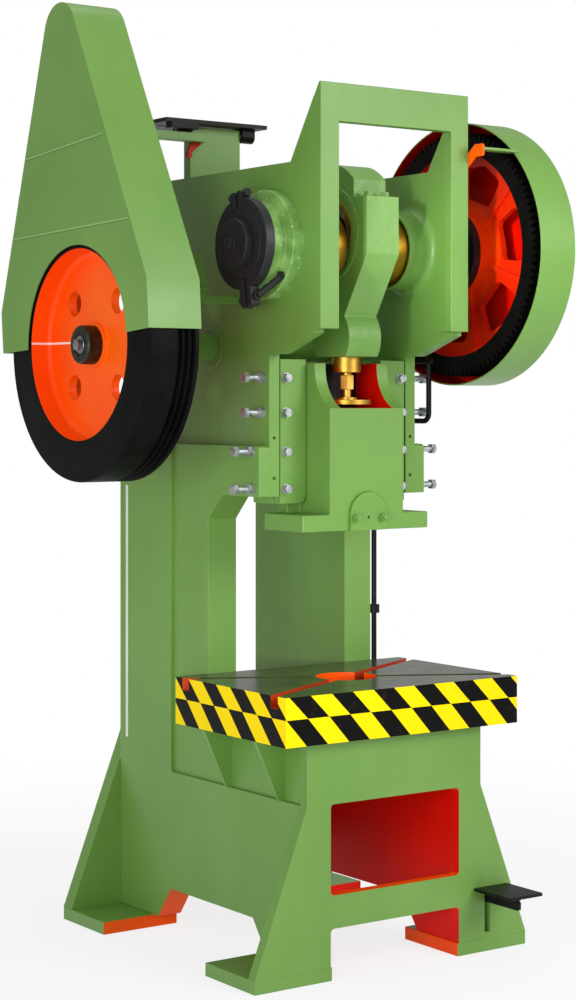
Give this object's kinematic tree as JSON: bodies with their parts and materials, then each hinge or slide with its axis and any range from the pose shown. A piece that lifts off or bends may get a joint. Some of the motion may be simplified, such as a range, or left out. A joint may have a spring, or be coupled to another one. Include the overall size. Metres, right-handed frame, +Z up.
{
  "type": "mechanical power press",
  "caption": "Gap-frame mechanical stamping press with plate side frames, crank-driven slide, guarded flywheel, bull gear, band brake, bolster table and foot pedal.",
  "frame": {"origin": "middle of the press's bounding box, on the floor plane", "axes": "+X towards the bull gear side, +Y towards the rear of the press, +Z up"},
  "size_m": [1.257, 1.21, 2.7439],
  "materials": {
    "green_paint": "satin",
    "orange_paint": "satin",
    "black_paint": "satin",
    "cast_black": "as cast, painted",
    "bronze": "machined",
    "brass": "machined",
    "zinc": "zinc plated",
    "steel": "machined",
    "table_paint": "satin"
  },
  "bodies": {
    "frame": {"back_shaft_housings": "green_paint", "base_back_plate": "green_paint", "base_front_plate": "green_paint", "bearing_bushes": "bronze", "bed_gussets": "green_paint", "bolster": "table_paint", "brake_fasteners": "black_paint", "flywheel_guard": "green_paint", "foot_pads": "orange_paint", "front_brake_shoe": "cast_black", "gear_guard": "green_paint", "gib_adjusting_bolts": "zinc", "gib_cover_bolts": "zinc", "guard_stays": "green_paint", "head_front_frame": "green_paint", "head_ties": "green_paint", "hinge_pins": "steel", "left_cheek_plate": "green_paint", "left_crank_housing": "green_paint", "left_gib_block": "green_paint", "left_gib_cover": "green_paint", "left_inner_plate": "green_paint", "left_main_plate": "green_paint", "left_outer_plate": "green_paint", "linkage_pivots": "steel", "motor_panel": "green_paint", "panel_angle": "green_paint", "rear_brake_shoe": "cast_black", "right_cheek_plate": "green_paint", "right_crank_housing": "green_paint", "right_gib_block": "green_paint", "right_gib_cover": "green_paint", "right_inner_plate": "green_paint", "right_main_plate": "green_paint", "right_outer_plate": "green_paint", "side_bracket": "green_paint", "tension_lug": "orange_paint"},
    "slide": {"slide": "green_paint", "shank_clamp": "green_paint", "clamp_studs": "zinc"},
    "crankshaft": {"crankshaft": "steel", "brake_drum": "cast_black", "clutch_disc": "cast_black"},
    "connecting_rod": {"rod_body": "green_paint", "rod_cap": "green_paint", "cap_bolts": "zinc", "rod_bush": "bronze", "ball_screw": "brass", "lock_ring": "brass"},
    "bull_gear": {"bull_gear": "orange_paint"},
    "flywheel": {"flywheel": "orange_paint", "back_shaft": "steel", "pinion": "steel", "shaft_collar": "black_paint"},
    "pedal": {"pedal_lever": "black_paint", "pedal_plate": "black_paint"},
    "pull_rod": {"pull_rod": "black_paint", "rod_collar": "black_paint"},
    "trip_lever": {"trip_lever": "black_paint"},
    "motor_platform": {"motor_platform": "black_paint"}
  },
  "joints": [
    {"name": "slide_stroke", "type": "slide", "parent": "frame", "child": "slide", "axis": [0, 0, 1], "range_m": [-0.08, 0]},
    {"name": "crank_turn", "type": "hinge", "parent": "frame", "child": "crankshaft", "pos_m": [0.0955, -0.209, 2.04192], "axis": [1, 0, 0], "range_deg": [0, 180]},
    {"name": "crankpin_turn", "type": "hinge", "parent": "crankshaft", "child": "connecting_rod", "pos_m": [0.0955, -0.209, 2.08192], "axis": [1, 0, 0], "range_deg": [-180, 0]},
    {"name": "bull_gear_turn", "type": "hinge", "parent": "frame", "child": "bull_gear", "pos_m": [0.0955, -0.209, 2.04192], "axis": [1, 0, 0], "continuous": true},
    {"name": "flywheel_turn", "type": "hinge", "parent": "frame", "child": "flywheel", "pos_m": [0.0955, 0.10696, 1.75992], "axis": [1, 0, 0], "continuous": true},
    {"name": "pedal_press", "type": "hinge", "parent": "frame", "child": "pedal", "pos_m": [0.4315, 0.221, 0.157], "axis": [1, 0, 0], "range_deg": [0, 4.6], "stiffness_Nm_per_rad": 300, "springref_deg": -9.17},
    {"name": "pull_rod_travel", "type": "slide", "parent": "frame", "child": "pull_rod", "axis": [0, 0, 1], "range_m": [-0.01124, 0]},
    {"name": "trip_lever_turn", "type": "hinge", "parent": "frame", "child": "trip_lever", "pos_m": [0.4182, -0.091, 1.729], "axis": [1, 0, 0], "range_deg": [0, 6.57]},
    {"name": "platform_tilt", "type": "hinge", "parent": "frame", "child": "motor_platform", "pos_m": [0.0955, 0.283, 2.41492], "axis": [1, 0, 0], "range_deg": [0, 6]}
  ],
  "couplings": [
    {"joint": "crank_turn", "follows": "slide_stroke", "rad_per_m": -39.27},
    {"joint": "crankpin_turn", "follows": "slide_stroke", "rad_per_m": 39.27},
    {"joint": "flywheel_turn", "follows": "bull_gear_turn", "ratio": -5.7222},
    {"joint": "pull_rod_travel", "follows": "pedal_press", "m_per_rad": -0.14},
    {"joint": "trip_lever_turn", "follows": "pedal_press", "ratio": 1.4286}
  ]
}
